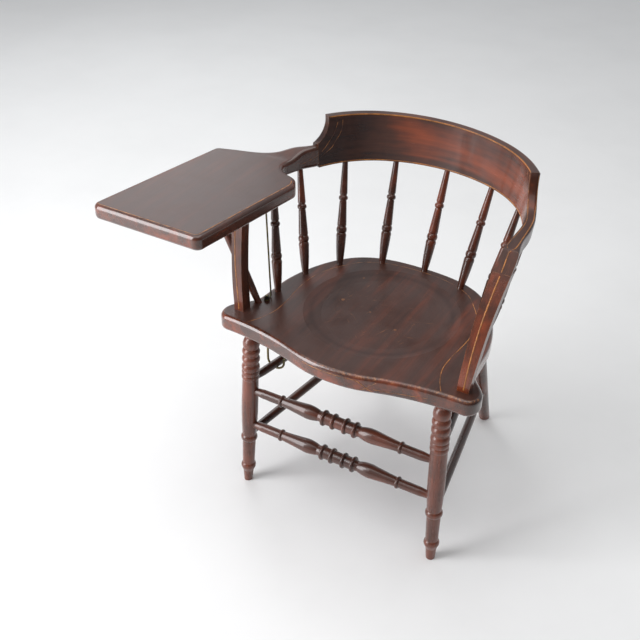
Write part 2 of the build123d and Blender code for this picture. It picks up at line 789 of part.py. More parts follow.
def bow_outline(offset, end_width):
    """Half of the bow's plan, out to a face this far from its inner face, closed at the front."""
    side_x = bow_half_width + offset
    end = (bow_half_width + end_width, arm_end_back)
    CenterArc(
        (0, bow_back_centre), bow_back_radius + offset, 90 - bow_back_half_angle, bow_back_half_angle
    )
    CenterArc((side_centre_across, side_centre_back), bow_side_radius + offset, 0, side_sweep)
    if end_width > offset:
        swell = (bow_half_width + arm_swell[0], arm_swell[1])
        flank = TangentArc((side_x, side_centre_back), swell, tangent=(0, -1))
        TangentArc(flank @ 1, end, tangent=flank % 1)
    else:
        Line((side_x, side_centre_back), end)
    Polyline(end, (end[0], arm_end_back - rail_height), (0, arm_end_back - rail_height))


def scoop(bottom):
    """The outline of what is cut away over an end of the rail, down to this height."""
    depth = crest_top - bottom
    far = 2 * bow_side_radius
    CenterArc((scoop_start - depth, crest_top), depth, -90, 90)
    Polyline(
        (scoop_start, crest_top),
        (scoop_start, crest_top + rail_height),
        (-far, crest_top + rail_height),
        (-far, bottom),
        (scoop_start - depth, bottom),
    )


def from_inner_face(point):
    """How far a point lies outside the rail's inner face, in plan at the point's own height."""
    across = abs(point.X + origin_across - bow_shift)
    back = point.Y + origin_back
    flare = (point.Z - rail_underside) * flare_rate
    if across < (back - bow_back_centre) * tan(radians(bow_back_half_angle)):
        return hypot(across, back - bow_back_centre) - bow_back_radius - flare
    behind = max(back - side_centre_back, 0)
    return hypot(across - side_centre_across, behind) - bow_side_radius - flare


# the dowels run along the rail, square to the joint
dowels = []
for rise in dowel_rises:
    middle = rail_point(neck_joint_angle, rail_thickness / 2, rail_underside + rise)
    along = side_plane(-1, neck_joint_angle).x_dir
    dowels.append((middle - along * (dowel_length / 2), middle + along * (dowel_length / 2)))
dowel_bores = [socket(low, high, dowel_radius, dowel_length + 2 * socket_end_gap) for low, high in dowels]

head_bores = {
    number: socket(head_end, foot, spindle_head_radius, 2 * spindle_head_depth)
    for number, (foot_end, foot, head, head_end) in enumerate(spindles, start=1)
}
arm_root, arm_tenon_end = arm_post_tenons[1]
bow_bores = [hole for number, hole in head_bores.items() if number not in tablet_spindle_shifts]
bow_bores += dowel_bores
bow_bores.append(socket(arm_tenon_end, arm_root, post_tenon_radius, 2 * post_head_depth))

crest_plane = Plane(origin=spot(0, 0, crest_top), x_dir=(1, 0, -crest_fall), z_dir=(crest_fall, 0, 1))
rough_height = rail_height + crest_fall * 2 * bow_half_width

with BuildPart() as bow:
    with BuildSketch(bow_plane):
        with BuildLine():
            bow_outline(rail_thickness, arm_end_width)
            mirror(about=Plane.YZ)
        make_face()
    extrude(amount=rough_height, taper=-rail_flare)
    with BuildSketch(bow_plane):
        with BuildLine():
            bow_outline(0, 0)
            mirror(about=Plane.YZ)
        make_face()
    extrude(amount=rough_height, taper=-rail_flare, mode=Mode.SUBTRACT)
    split(bisect_by=crest_plane, keep=Keep.BOTTOM)
    # the arm's end slopes on from the post's front face
    with BuildSketch(Plane(origin=spot(0, 0, rail_underside), x_dir=(0, 1, 0), z_dir=(1, 0, 0))):
        Polygon(
            (arm_end_back, 0),
            (arm_end_high, rail_height),
            (arm_end_back - 2 * rail_height, rail_height),
            (arm_end_back - 2 * rail_height, 0),
            align=None,
        )
    extrude(amount=2 * bow_side_radius, both=True, mode=Mode.SUBTRACT)
    # the right end stops at the joint with the tablet
    with BuildSketch(bow_plane):
        Polygon(
            (-side_centre_across, side_centre_back),
            (
                -side_centre_across - 2 * bow_side_radius * cos(radians(neck_joint_angle)),
                side_centre_back + 2 * bow_side_radius * sin(radians(neck_joint_angle)),
            ),
            (-2 * bow_side_radius, arm_end_back - rail_height),
            (-side_centre_across, arm_end_back - rail_height),
            align=None,
        )
    extrude(amount=rough_height, mode=Mode.SUBTRACT)
    for sign, bottom in ((1, arm_top), (-1, neck_top)):
        with BuildSketch(side_plane(sign, scoop_angle)):
            with BuildLine():
                scoop(bottom)
            make_face()
        extrude(amount=2 * bow_side_radius * sign, mode=Mode.SUBTRACT)
    outer_edges = [
        edge
        for edge in bow.edges()
        if edge.bounding_box().min.Z > arm_top - level_tolerance
        and from_inner_face(edge @ 0.5) > rail_outer_share * rail_thickness
    ]
    fillet(outer_edges, rail_outer_round)
    bore(bow_bores)
bow.part.label = "bow"
export_step(bow.part, "parts/bow.step")

# ================================================================ dowels
with BuildPart() as tablet_dowels:
    for low, high in dowels:
        with Locations(Plane(origin=low, z_dir=high - low)):
            Cylinder(dowel_radius, dowel_length, align=(Align.CENTER, Align.CENTER, Align.MIN))
tablet_dowels.part.label = "tablet_dowels"
export_step(tablet_dowels.part, "parts/tablet_dowels.step")

# ================================================================ writing tablet
def tablet_outline(height):
    """The tablet's plan at this height above the floor: only its neck leans with the rail."""
    here = spot(0, 0, height)
    inner_start = rail_point(neck_joint_angle, 0, height) - here
    outer_start = rail_point(neck_joint_angle, rail_thickness, height) - here
    way = side_plane(-1, neck_joint_angle).x_dir * -1
    root, *cove, corner = [Vector(*point) for point in tablet_cove[::-1]]
    lean = inner_start - (rail_point(neck_joint_angle, 0, rail_underside) - spot(0, 0, rail_underside))
    Spline(
        inner_start, root + lean, *cove, corner, tangents=(way, Vector(*tablet_inner_back) - corner)
    )
    FilletPolyline(
        corner,
        tablet_inner_back,
        tablet_inner_front,
        tablet_outer_front,
        tablet_outer_back,
        tablet_shoulder[0],
        radius=tablet_corner_round,
    )
    Spline(
        *tablet_shoulder,
        outer_start,
        tangents=(Vector(*tablet_shoulder[0]) - Vector(*tablet_outer_back), way * -1),
    )
    Line(outer_start, inner_start)


post_root, post_tenon_end = tablet_post_tenons[1]
tablet_bores = [
    head_bores[1],
    head_bores[2],
    *dowel_bores,
    socket(post_tenon_end, post_root, post_tenon_radius, 2 * post_head_depth),
    socket(brace_head_end, brace_high, brace_tenon_radius, 2 * brace_depth),
    socket(rod_top, rod_foot, rod_radius, 2 * rod_depth),
]

with BuildPart() as writing_tablet:
    for height in (rail_underside, neck_top):
        with BuildSketch(Plane(origin=spot(0, 0, height))):
            with BuildLine():
                tablet_outline(height)
            make_face()
    loft(ruled=True)
    # the top rises from the level board to the neck
    with BuildSketch(Plane(origin=spot(0, 0, 0), x_dir=(0, 1, 0), z_dir=(1, 0, 0))):
        with BuildLine():
            Spline((neck_rise_start, tablet_top), (neck_rise_end, neck_top), tangents=((1, 0), (1, 0)))
            Polyline(
                (neck_rise_end, neck_top),
                (neck_rise_end, neck_top + rail_height),
                (tablet_inner_front[1] - rail_height, neck_top + rail_height),
                (tablet_inner_front[1] - rail_height, tablet_top),
                (neck_rise_start, tablet_top),
            )
        make_face()
    extrude(amount=2 * abs(tablet_outer_front[0]), both=True, mode=Mode.SUBTRACT)
    shoulder_line = spot(0, tablet_shoulder[0][1] + level_tolerance, 0).Y
    for height in (tablet_top, rail_underside):
        board_edges = [
            edge
            for edge in writing_tablet.edges().filter_by_position(
                Axis.Z, height - level_tolerance, height + level_tolerance
            )
            if max(vertex.Y for vertex in edge.vertices()) < shoulder_line
            and edge.length > shortest_rounded_edge
        ]
        fillet(board_edges, tablet_edge_round)
    bore(tablet_bores)
writing_tablet.part.label = "writing_tablet"
export_step(writing_tablet.part, "parts/writing_tablet.step")
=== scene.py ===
"""The looks of a writing arm Windsor chair: old varnish, painted lines, iron work and a stage."""

from math import cos, radians, sin, tan

import bmesh
import bpy
from mathutils import Matrix, Vector


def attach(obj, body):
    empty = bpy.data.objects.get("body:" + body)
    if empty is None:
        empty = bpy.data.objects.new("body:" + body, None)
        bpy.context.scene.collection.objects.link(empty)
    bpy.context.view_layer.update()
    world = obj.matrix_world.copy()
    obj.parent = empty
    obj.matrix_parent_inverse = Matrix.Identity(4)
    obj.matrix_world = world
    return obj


bl_info = {
    "name": "Writing Arm Windsor Chair",
    "version": (1, 0, 0),
    "blender": (4, 5, 0),
    "location": "3D View > Sidebar > Chair",
    "description": "Old varnish, painted lines, iron work and a plain stage for the chair",
    "category": "Object",
}

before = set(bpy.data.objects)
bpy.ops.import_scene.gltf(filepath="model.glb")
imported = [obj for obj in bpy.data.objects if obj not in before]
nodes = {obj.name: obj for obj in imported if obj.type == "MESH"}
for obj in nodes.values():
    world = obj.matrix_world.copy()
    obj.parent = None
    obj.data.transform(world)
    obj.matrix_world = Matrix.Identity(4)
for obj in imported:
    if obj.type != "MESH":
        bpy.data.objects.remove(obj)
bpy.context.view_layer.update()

ROOT = "root"
MM = 0.001

# ---------------------------------------------------------------- the chair's own lines
# in mm across and back from the seat's centreline and up from the floor, as the solids have them
ORIGIN_ACROSS = -104.0
ORIGIN_BACK = 23.60
SEAT_TOP = 445.0
DISH_CENTRE = (0, 8)
DISH_RADIUS = 148.5
TABLET_TOP = 692.0
RAIL_UNDERSIDE = 660.0
RAIL_FLARE = tan(radians(6.0))
RAIL_STEPS = 40
CREST_TOP = 761.0
CREST_FALL = 0.026
BOW_SHIFT = -2.0
BACK_RADIUS = 300.0
BACK_CENTRE = -25.0
BACK_HALF_ANGLE = radians(25.0)
SIDE_RADIUS = 216.87
SIDE_CENTRE = (
    (BACK_RADIUS - SIDE_RADIUS) * sin(BACK_HALF_ANGLE),
    BACK_CENTRE + (BACK_RADIUS - SIDE_RADIUS) * cos(BACK_HALF_ANGLE),
)


def spot(across, back, height):
    """A point in metres in the shared frame, from mm off the seat's centreline and the floor."""
    return Vector((across - ORIGIN_ACROSS, back - ORIGIN_BACK, height)) * MM


def rail_spot(turn, height):
    """A point on the rail's inner face, in mm.

    turn is in degrees from the middle of the back, + towards the arm.
    """
    lean = (height - RAIL_UNDERSIDE) * RAIL_FLARE
    side = 1 if turn > 0 else -1
    angle = radians(abs(turn))
    if angle <= BACK_HALF_ANGLE:
        across = (BACK_RADIUS + lean) * sin(angle)
        back = BACK_CENTRE + (BACK_RADIUS + lean) * cos(angle)
    else:
        across = SIDE_CENTRE[0] + (SIDE_RADIUS + lean) * sin(angle)
        back = SIDE_CENTRE[1] + (SIDE_RADIUS + lean) * cos(angle)
    return (side * across + BOW_SHIFT, back, height)


def rail_line(start, end, rise=0.0, drop=None):
    """A line along the rail: rise over its level underside, or drop under its sloping crest."""
    line = []
    for step in range(RAIL_STEPS + 1):
        turn = start + (end - start) * step / RAIL_STEPS
        height = RAIL_UNDERSIDE + rise
        if drop is not None:
            height = CREST_TOP - CREST_FALL * rail_spot(turn, CREST_TOP)[0] - drop
        line.append(rail_spot(turn, height))
    return line


def mirrored(line):
    """The same line on the other side of the seat's centreline."""
    return [(-across, back, height) for across, back, height in line]


def level(points, height):
    """A line through points that are given from above, all at one height."""
    return [(*point, height) for point in points]


SEAT_SIDE_LINE = level(
    [(150, 137), (176, 98), (192, 55), (196, 12), (194, -28), (191, -65), (191.5, -103),
     (201, -137), (211, -158), (219, -172)],
    SEAT_TOP,
)
SEAT_BACK_LINE = level(
    [(-150, 137), (-134, 156), (-112, 171), (-82, 184), (-42, 192), (0, 194), (42, 192),
     (82, 184), (112, 171), (134, 156), (150, 137)],
    SEAT_TOP,
)
# what carries the lines, then each line's share of the full width and its points
PAINTED_LINES = {
    "bow": (
        # along the crest's upper edge and the rail's lower one
        (1.45, rail_line(-57.0, 57.0, drop=1.6)),
        (1.15, rail_line(-64.5, 89.0, rise=2.2)),
        # down the scoop at the tablet's end
        (0.55, [(-216.1, 189.1, 751.9), (-218, 184, 738), (-221.0, 177.3, 724.5),
                (-227.8, 163.2, 705.6), (-233, 152, 694)]),
        (0.55, [(-209.3, 198.1, 755.4), (-208.9, 196.1, 740.9), (-211.1, 191.0, 725.8),
                (-216.5, 181.6, 711.6), (-221.4, 171.8, 697.5), (-228.9, 157.9, 688.7),
                (-234, 147, 681)]),
        # down the scoop at the arm's end, the last two also along the arm
        (0.60, [(211.9, 188.2, 752.0), (212.5, 184, 735), (213.4, 182.6, 725.5),
                (217.0, 174.3, 706.5), (221.2, 165, 690), (230, 146, 677), (241, 116, 669)]),
        (0.75, [(220.6, 177.3, 752.0), (222.5, 172, 742), (226.1, 164.6, 730.0),
                (231, 154, 713), (238, 138, 702), (247.8, 113, 697), (254.5, 85, 695.5),
                (256.3, 60, 695), (256.3, 30, 695), (256.0, -7, 695), (259, -20, 695),
                (266, -31, 692)]),
        (1.10, [(236.5, 183, 752.5), (241.5, 176, 735), (244.8, 167.5, 718),
                (250.5, 151, 703), (257.5, 127, 696.5), (264.9, 99.3, 695), (269.5, 60, 695),
                (272.0, 25, 695), (273.8, -5, 695), (273.0, -20, 695), (267, -31, 692)]),
        # down the arm's front end
        (1.10, [(266.8, -31, 692), (266.5, -40, 682), (266.4, -53, 666.4), (266.2, -57, 662)]),
    ),
    "arm_post": (
        (1.35, [(266.0, -61, 656), (264.5, -83.8, 630.8), (262, -109.8, 591.9),
                (259, -131.2, 543.3), (257, -144.1, 498.3), (256, -151.4, 462.9),
                (255.4, -152.6, 450)]),
    ),
    "tablet_post": (
        (1.35, [(-260, -139, 655), (-260, -143.3, 613.4), (-259, -146.9, 558.8),
                (-256.9, -147.7, 517.6), (-255.8, -145.1, 470), (-255.5, -145, 449)]),
    ),
    "seat": (
        # round the top
        (0.85, SEAT_SIDE_LINE),
        (0.70, mirrored(SEAT_SIDE_LINE)),
        (0.60, SEAT_BACK_LINE),
        # on the front edge
        (0.85, [(-60, -217, 434.5), (-16.5, -221, 434.6), (20.5, -221, 435.6),
                (58.1, -216, 435.4), (70, -212, 429), (79.4, -209.4, 422.2), (91, -206, 415)]),
        (0.80, [(98.9, -204, 437.5), (88, -207, 428), (79, -210, 420.5), (70.5, -212, 415.7),
                (60, -215, 413)]),
        (0.60, [(93.1, -205.2, 420.6), (115, -199, 420.4), (138.8, -192.7, 420.8),
                (168, -186.5, 423), (197.1, -182.4, 426.4)]),
    ),
    "writing_tablet": (
        # along the front, inner and outer edges of the top
        (0.80, level([(-487.5, -266), (-489.3, -275), (-485, -278), (-470, -278.2),
                      (-380, -278.2), (-290, -278.2), (-258, -278), (-249.5, -275),
                      (-247.6, -268)], TABLET_TOP)),
        (0.95, level([(-247.6, -268), (-240.5, -220), (-227.3, -125), (-214.5, -38),
                      (-211.8, -16), (-213.5, -5), (-218, 3)], TABLET_TOP)),
        (0.55, level([(-487.5, -266), (-477, -205), (-457, -83), (-438.5, 30), (-436, 42)],
                     TABLET_TOP)),
        # on the neck, where the lines of the scoop end
        (0.50, [(-236.2, 146, 689.5), (-243, 132, 683.5), (-250, 119.5, 679), (-257, 107, 676)]),
        (0.50, [(-238, 139, 677), (-246, 124, 673.5), (-254, 110, 671)]),
    ),
}

# worn spots in the seat: across, back and radius, in mm, and how far they lie under its top
SEAT_MARKS = (
    (-96.4, 108.6, 0.8), (-95.2, 12.3, 2.0), (50.6, -29.7, 1.0), (-24.3, 2.0, 0.4),
    (253.0, -162.0, 2.0),
)
MARK_DEPTH = 5


# ---------------------------------------------------------------- laying out nodes
class Bench:
    """Adds nodes to a tree. Inputs go by name or number, as a value or another node's output."""

    def __init__(self, tree):
        self.tree = tree

    def add(self, kind, inputs=None, **settings):
        """A new node of this kind."""
        made = self.tree.nodes.new(kind)
        for name, value in settings.items():
            setattr(made, name, value)
        for key, value in (inputs or {}).items():
            if isinstance(value, bpy.types.NodeSocket):
                self.tree.links.new(value, made.inputs[key])
            else:
                made.inputs[key].default_value = value
        return made

    def math(self, operation, *values, clamp=False):
        inputs = dict(enumerate(values))
        made = self.add("ShaderNodeMath", inputs, operation=operation, use_clamp=clamp)
        return made.outputs[0]

    def times(self, first, second):
        return self.math("MULTIPLY", first, second)

    def most(self, first, second):
        return self.math("MAXIMUM", first, second)

    def scaled(self, value, gain, offset, clamp=False):
        """value * gain + offset."""
        return self.math("MULTIPLY_ADD", value, gain, offset, clamp=clamp)

    def varied(self, value, pattern, amount):
        """The value, moved up and down by a pattern that runs from 0 to 1."""
        return self.scaled(pattern, amount, self.math("SUBTRACT", value, amount / 2))

    def opposite(self, value):
        """1 where the value is 0, and 0 where it is 1."""
        return self.math("SUBTRACT", 1.0, value)

    def between(self, value, low, high):
        """0 where the value is at low or under, 1 at high or over, smooth between."""
        inputs = {0: value, 1: low, 2: high}
        made = self.add("ShaderNodeMapRange", inputs, interpolation_type="SMOOTHSTEP", clamp=True)
        return made.outputs[0]

    def place(self):
        """Where a point of the piece lies, in Object coordinates."""
        return self.add("ShaderNodeTexCoord").outputs["Object"]

    def normal(self):
        """The way a point of the piece faces."""
        return self.add("ShaderNodeNewGeometry").outputs["Normal"]

    def parts(self, vector):
        """A vector's x, y and z."""
        return self.add("ShaderNodeSeparateXYZ", {0: vector}).outputs

    def measured(self, operation, first, second):
        """A number from two vectors, such as how far apart they are."""
        inputs = {0: first, 1: second}
        return self.add("ShaderNodeVectorMath", inputs, operation=operation).outputs["Value"]

    def mapped(self, vector, vector_type="POINT", **inputs):
        """A vector, moved, turned or stretched."""
        made = self.add("ShaderNodeMapping", {"Vector": vector, **inputs}, vector_type=vector_type)
        return made.outputs[0]

    def noise(self, vector, scale, detail, roughness=0.5, distortion=0.0):
        inputs = {
            "Vector": vector,
            "Scale": scale,
            "Detail": detail,
            "Roughness": roughness,
            "Distortion": distortion,
        }
        return self.add("ShaderNodeTexNoise", inputs).outputs["Fac"]

    def drawn_out(self, vector, scale, *pattern):
        """Noise with a scale of its own along x, y and z."""
        return self.noise(self.mapped(vector, Scale=scale), 1.0, *pattern)

    def mix(self, factor, low, high, blend="MIX"):
        inputs = {0: factor, 6: low, 7: high}
        made = self.add("ShaderNodeMix", inputs, data_type="RGBA", blend_type=blend)
        return made.outputs[2]

    def finish(self, inputs, bump=None):
        """End a material's tree in a principled shader. bump is strength, distance and height."""
        if bump:
            bump = dict(zip(("Strength", "Distance", "Height"), bump))
            inputs["Normal"] = self.add("ShaderNodeBump", bump).outputs[0]
        shader = self.add("ShaderNodeBsdfPrincipled", inputs)
        self.add("ShaderNodeOutputMaterial", {"Surface": shader.outputs[0]})


def new_material(name):
    """An empty material, and the bench for its nodes."""
    made = bpy.data.materials.new(name)
    made.use_nodes = True
    made.node_tree.nodes.clear()
    return made, Bench(made.node_tree)


def finish_nodes(names, material):
    """Give these pieces of the frame a material."""
    for name in names:
        for place in nodes[name].material_slots:
            place.material = material


def named(start):
    """The frame's pieces whose names start like this."""
    return [name for name in nodes if name.startswith(start)]


def rgba(colour):
    """A colour with full alpha."""
    return (*colour[:3], 1.0)


# ---------------------------------------------------------------- settings
class VarnishSettings(bpy.types.PropertyGroup):
    """The old varnish on the wood."""

    dark: bpy.props.FloatVectorProperty(
        name="Dark", description="Where the varnish is thick and dark",
        subtype="COLOR", size=3, min=0, max=1, default=(0.021, 0.0062, 0.0042),
    )
    brown: bpy.props.FloatVectorProperty(
        name="Brown", description="Most of the varnished wood",
        subtype="COLOR", size=3, min=0, max=1, default=(0.060, 0.018, 0.0095),
    )
    red: bpy.props.FloatVectorProperty(
        name="Red", description="Where the varnish is thin and the wood glows through",
        subtype="COLOR", size=3, min=0, max=1, default=(0.245, 0.046, 0.013),
    )
    worn: bpy.props.FloatVectorProperty(
        name="Worn", description="Bare wood along rubbed edges",
        subtype="COLOR", size=3, min=0, max=1, default=(0.42, 0.165, 0.055),
    )
    grime: bpy.props.FloatVectorProperty(
        name="Grime", description="The dull film on the seat, the rail and the tablet",
        subtype="COLOR", size=3, min=0, max=1, default=(0.062, 0.036, 0.031),
    )
    roughness: bpy.props.FloatProperty(
        name="Roughness", description="Of the varnish where it still shines",
        subtype="FACTOR", min=0, max=1, default=0.30,
    )


class LineSettings(bpy.types.PropertyGroup):
    """The painted lines."""

    width: bpy.props.FloatProperty(
        name="Width", description="Of a painted line",
        subtype="DISTANCE", unit="LENGTH", min=0.0002, max=0.01, default=0.0020,
    )
    height: bpy.props.FloatProperty(
        name="Height", description="That the paint stands above the wood",
        subtype="DISTANCE", unit="LENGTH", min=0.00002, max=0.001, default=0.00016,
    )
    paint: bpy.props.FloatVectorProperty(
        name="Paint", description="The old gold paint",
        subtype="COLOR", size=3, min=0, max=1, default=(0.52, 0.195, 0.042),
    )


class StageSettings(bpy.types.PropertyGroup):
    """The floor, the light and the camera."""

    floor: bpy.props.FloatVectorProperty(
        name="Floor", description="Colour of the pale floor",
        subtype="COLOR", size=3, min=0, max=1, default=(0.87, 0.868, 0.862),
    )
    key: bpy.props.FloatProperty(
        name="Window light", description="Power of the large soft light",
        subtype="POWER", unit="POWER", min=0, max=2000, default=100.0,
    )
    room: bpy.props.FloatProperty(
        name="Room light", description="Brightness of the even light from the room",
        subtype="FACTOR", min=0, max=5, default=0.56,
    )
    azimuth: bpy.props.FloatProperty(
        name="Azimuth", description="How far the camera stands round from the front",
        subtype="ANGLE", default=radians(29.75),
    )
    elevation: bpy.props.FloatProperty(
        name="Elevation", description="How steeply the camera looks down",
        subtype="ANGLE", default=radians(34.91),
    )
    roll: bpy.props.FloatProperty(
        name="Roll", description="How far the camera is tipped",
        subtype="ANGLE", default=radians(0.98),
    )
    lens: bpy.props.FloatProperty(
        name="Lens", description="Focal length on a 36 mm sensor",
        subtype="DISTANCE_CAMERA", unit="CAMERA", min=10, max=200, default=55.72,
    )


# ---------------------------------------------------------------- woods
# Limits are where a mask starts and where it is full. Lengths are in metres.

# noise along a board: its scale along and across the grain, detail, roughness and distortion
FIGURE = ((2.6, 20, 20), 3.0, 0.55, 0.8)
STREAKS = ((5, 95, 95), 3.0, 0.6)
FIBRES = ((26, 700, 700), 2.0, 0.6)
SCRATCHES = ((9, 330, 60), 2.0, 0.5, 1.2)
# noise that is alike every way: its scale, detail and roughness
PATCHES = (9.0, 3.0, 0.55)
SPECKS = (160.0, 3.0, 0.65)
CHIPS = (130.0, 5.0, 0.75)
MARK_EDGE = (420.0, 2.0)

# the tone: its middle, what moves it, and where it turns from one colour to the next
TONE = 0.42
TONE_BY_PATCHES = 0.9
TONE_BY_STREAKS = 0.5
BROWN_LIMITS = (0.0, 0.5)
RED_LIMITS = (0.45, 1.05)
FIBRES_DARKEN = (0.5, 0.72)  # gain and offset
# how much of its clear gloss a rail keeps under its painted shade
PAINTED_SHADE_GLOSS = 0.1

# the dull film on flat tops and the paler dust; over WHOLE_FILM a piece is more even
FLAT_LIMITS = (0.90, 0.99)
FILM_LIMITS = (0.30, 0.62)
FILM_ROUGHNESS = 0.22
FILM_GLOSS_LOSS = 0.92
WHOLE_FILM = 0.7
DUST_PALER = 2.2

# rubbed arrises, dents, scratches and worn spots
ARRIS_RADIUS = 0.0022
ARRIS_LIMITS = (0.03, 0.20)
ARRIS_SPECKS_LIMITS = (0.36, 0.60)
DENT_LIMITS = (0.735, 0.76)
DENTS_SHOW = 0.35
SCRATCH_LIMITS = (0.70, 0.76)
SCRATCHES_SHOW = 0.12
MARKS_SHOW = 0.4
MARK_FADE = 0.0035
MARK_ROUGH = (0.004, -0.002)  # gain and offset

# the seat's own: redder sides, a painted shade along the rim of its hollow and the scratches in
# there
SEAT_SIDES_REDDER = 0.12
RIM_SHADE_WIDTH = 0.010
RIM_SHADE_SHOWS = 0.36
SAT_ON_LIMITS = (0.01, 0.05)
SAT_ON_TURNS = ((0.35, 0.70), (1.15, 0.69), (-0.75, 0.70))  # turn, and where the mask starts
SAT_ON_SCALE = (0.045, 0.0030, 1)
SAT_ON_NOISE = (1.0, 2.0, 0.5, 0.4)  # scale, detail, roughness and distortion
SAT_ON_FADE = 0.05
SAT_ON_SHOWS = 0.26

# the chips along its front arris: by the way it faces, by how far forward it is, and by where
# it is across, in mm
UPWARD_LIMITS = (0.45, 0.80)
LEVEL_LIMITS = (0.97, 0.995)
FORWARD_LIMITS = (0.02, 0.12)
SEAT_FRONT_LIMITS = (0.14, 0.17)
TOWARDS_ARM_LIMITS = (-90, 20)
CHIP_LIMITS = (0.47, 0.64)
CHIPS_SHOW = (0.46, 0.10)  # gain and offset

# how rough and how bumpy the varnish is
UNEVEN = 0.30
UNEVEN_FILM = 0.12
FIBRES_ROUGHNESS = 0.10
RUB_ROUGHNESS = 0.15
FIBRES_HEIGHT = 0.5
STREAKS_HEIGHT = 0.6
DENTS_DEPTH = 0.8
WOOD_BUMP = (0.22, 0.0006)  # strength and distance
VARNISH_IOR = 1.45
COAT_ROUGHNESS = 0.13


def along_axis(bench, axis):
    """Object coordinates turned so that x runs along a straight grain."""
    turn = {"X": (0, 0, 0), "Y": (0, 0, radians(-90)), "Z": (0, radians(90), 0)}[axis]
    return bench.mapped(bench.place(), Rotation=turn)


def along_bow(bench):
    """Coordinates that follow the bent rail: x along it, y out from its middle and z up."""
    middle = spot(BOW_SHIFT, BACK_CENTRE, 0)
    parts = bench.parts(bench.place())
    across = bench.math("SUBTRACT", parts[0], middle.x)
    back = bench.math("SUBTRACT", parts[1], middle.y)
    angle = bench.math("ARCTAN2", across, back)
    length = bench.times(angle, BACK_RADIUS * MM)
    square = bench.math("ADD", bench.times(across, across), bench.times(back, back))
    radius = bench.math("SQRT", square)
    return bench.add("ShaderNodeCombineXYZ", {0: length, 1: radius, 2: parts[2]}).outputs[0]


def edge_mask(bench):
    """1 along sharp edges, where a rounded normal differs from the true one."""
    rounded = bench.add("ShaderNodeBevel", {"Radius": ARRIS_RADIUS}, samples=6).outputs[0]
    alike = bench.measured("DOT_PRODUCT", rounded, bench.normal())
    return bench.between(bench.opposite(alike), *ARRIS_LIMITS)


def spot_mask(bench, marks):
    """1 on small round marks, each given by its place from above and its radius, in mm."""
    coordinates = bench.place()
    rough = bench.scaled(bench.noise(coordinates, *MARK_EDGE), *MARK_ROUGH)
    found = 0.0
    for across, back, radius in marks:
        place = tuple(spot(across, back, SEAT_TOP - MARK_DEPTH))
        distance = bench.math("ADD", bench.measured("DISTANCE", coordinates, place), rough)
        away = bench.between(distance, radius * MM, radius * MM + MARK_FADE)
        found = bench.most(bench.opposite(away), found)
    return found


def front_arris(bench):
    """1 on the rounded upper edge along the seat's front."""
    parts = bench.parts(bench.normal())
    upward = bench.between(parts[2], *UPWARD_LIMITS)
    upward = bench.times(upward, bench.opposite(bench.between(parts[2], *LEVEL_LIMITS)))
    forward = bench.between(bench.times(parts[1], -1.0), *FORWARD_LIMITS)
    return bench.times(upward, forward)


def chipped_front(bench, coordinates):
    """Chips along the seat's front arris, more of them towards the arm."""
    chips = bench.noise(coordinates, *CHIPS)
    parts = bench.parts(coordinates)
    far, near = (spot(across, 0, 0).x for across in TOWARDS_ARM_LIMITS)
    towards_arm = bench.between(parts[0], far, near)
    front = bench.between(bench.times(parts[1], -1.0), *SEAT_FRONT_LIMITS)
    worn = bench.times(front_arris(bench), bench.between(chips, *CHIP_LIMITS))
    worn = bench.times(worn, bench.scaled(towards_arm, *CHIPS_SHOW))
    return bench.times(worn, front)


def dish_place(bench, coordinates):
    """How far a point lies inside the rim of the hollow, seen from above."""
    centre = spot(*DISH_CENTRE, 0)
    above = bench.mapped(coordinates, Scale=(1, 1, 0))
    apart = bench.measured("DISTANCE", above, (centre.x, centre.y, 0))
    return bench.math("SUBTRACT", DISH_RADIUS * MM, apart)


def sat_on(bench, coordinates):
    """Fine scratches every way inside the hollow."""
    inside = bench.between(dish_place(bench, coordinates), *SAT_ON_LIMITS)
    found = 0.0
    for turn, low in SAT_ON_TURNS:
        lines = bench.mapped(coordinates, "TEXTURE", Rotation=(0, 0, turn), Scale=SAT_ON_SCALE)
        lines = bench.noise(lines, *SAT_ON_NOISE)
        found = bench.most(found, bench.between(lines, low, low + SAT_ON_FADE))
    return bench.times(bench.times(found, inside), SAT_ON_SHOWS)


